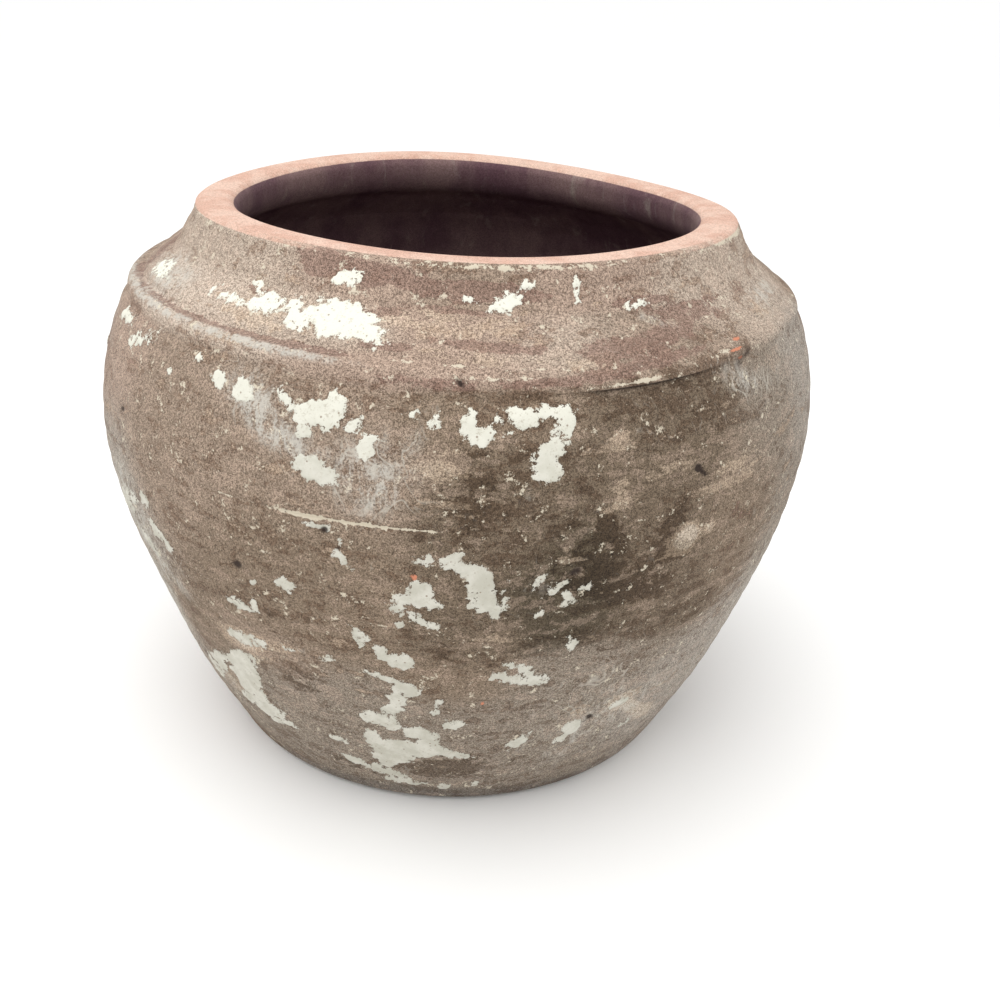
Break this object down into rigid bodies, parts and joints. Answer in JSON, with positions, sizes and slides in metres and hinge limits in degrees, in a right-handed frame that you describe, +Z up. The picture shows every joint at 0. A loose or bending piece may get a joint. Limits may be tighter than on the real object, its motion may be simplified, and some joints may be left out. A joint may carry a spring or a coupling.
{
  "type": "terracotta pot",
  "caption": "Round hand-thrown clay planter with a full belly, ridged shoulder, short neck and thick flat rim, open at the top and drained through the floor.",
  "frame": {"origin": "centre of the foot, on the plane the pot stands on", "axes": "+Z up along the pot's axis, towards the mouth; -Y is the side with the densest limewash flakes, seen from the front; +X to its right"},
  "size_m": [0.3728, 0.3732, 0.282],
  "materials": {
    "terracotta": "matte",
    "limewash": "matte"
  },
  "bodies": {
    "root": {"lower_body": "terracotta", "upper_body": "terracotta", "collar": "terracotta", "limewash_flakes": "limewash"}
  },
  "joints": []
}
